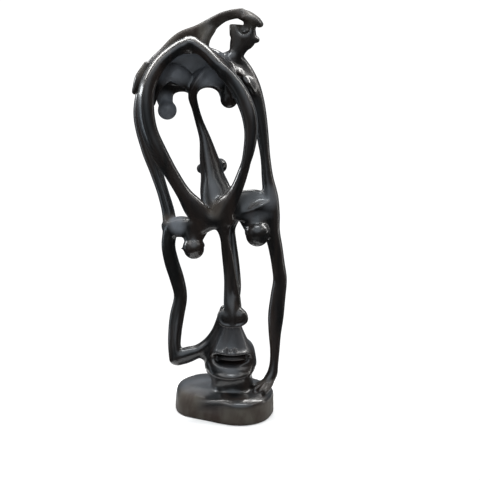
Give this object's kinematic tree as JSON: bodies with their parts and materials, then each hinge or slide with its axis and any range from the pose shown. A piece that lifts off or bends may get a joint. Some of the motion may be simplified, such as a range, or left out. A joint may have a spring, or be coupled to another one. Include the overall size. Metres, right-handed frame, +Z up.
{
  "type": "openwork spirit carving",
  "caption": "Tall openwork spirit figure carved from one block of dark wood, with its own rounded base.",
  "frame": {"origin": "middle of the flat underside of the base", "axes": "+Z up along the figure's height, -Y towards the front, where both faces look, +X to the figure's right as seen from the front"},
  "size_m": [0.1503, 0.0922, 0.4002],
  "materials": {
    "blackwood": "polished near-black hardwood with dark brown streaks, satin to semi-gloss; plainer and browner on the base's side and the top arm"
  },
  "bodies": {
    "root": {"shetani_carving": "blackwood"}
  },
  "joints": []
}
